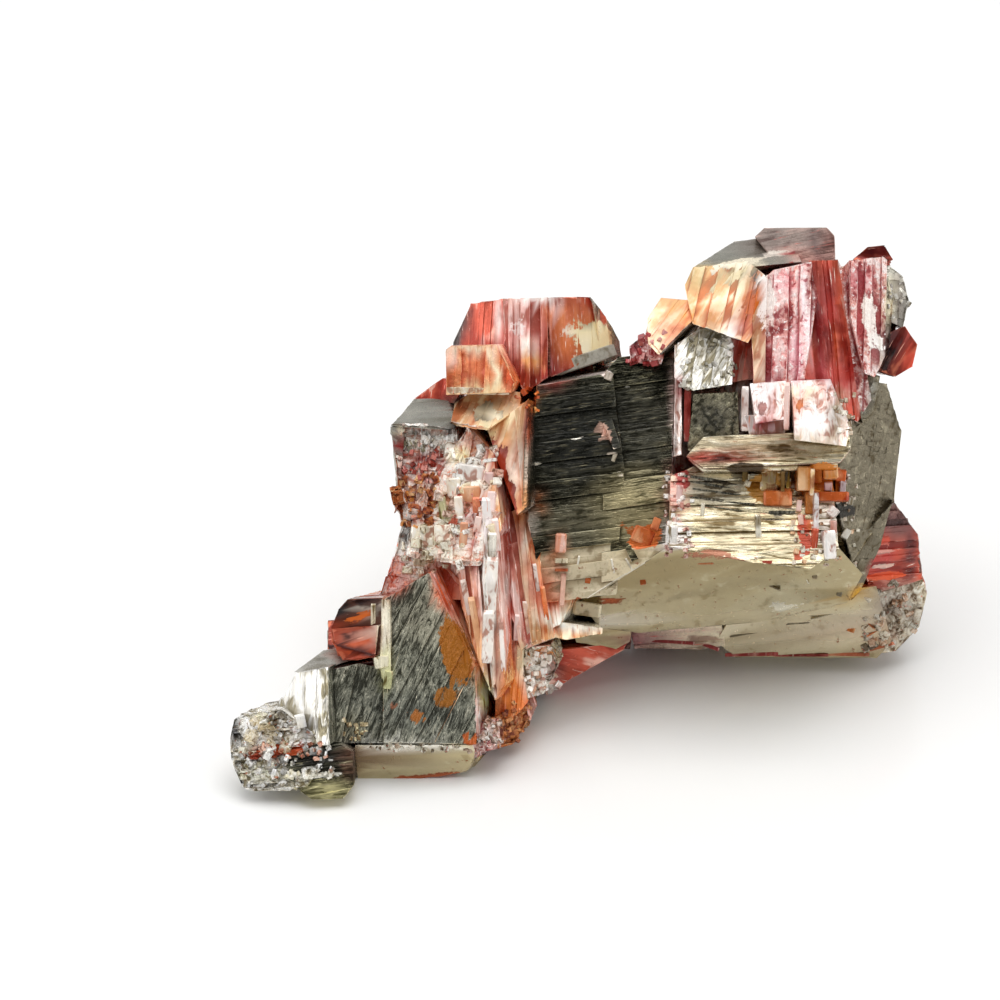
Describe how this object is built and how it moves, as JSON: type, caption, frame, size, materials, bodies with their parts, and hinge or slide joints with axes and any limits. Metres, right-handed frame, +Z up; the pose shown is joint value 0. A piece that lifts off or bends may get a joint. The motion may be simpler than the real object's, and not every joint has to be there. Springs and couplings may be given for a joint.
{
  "type": "pyrite specimen",
  "caption": "Cluster of intergrown, striated pyrite crystals with an iridescent tarnish, a natural hand specimen that rests on its own feet.",
  "frame": {"origin": "under the middle of the specimen's bounding box, on the surface it rests on", "axes": "+X to the right along its longest side as it is displayed, +Y away from the viewer, +Z up"},
  "size_m": [0.0506, 0.036, 0.0317],
  "materials": {
    "tarnished_pyrite": "metallic lustre on striated crystal faces, tarnished from brass and olive grey to orange, red and pink"
  },
  "bodies": {
    "root": {"pyrite_cluster": "tarnished_pyrite"}
  },
  "joints": []
}
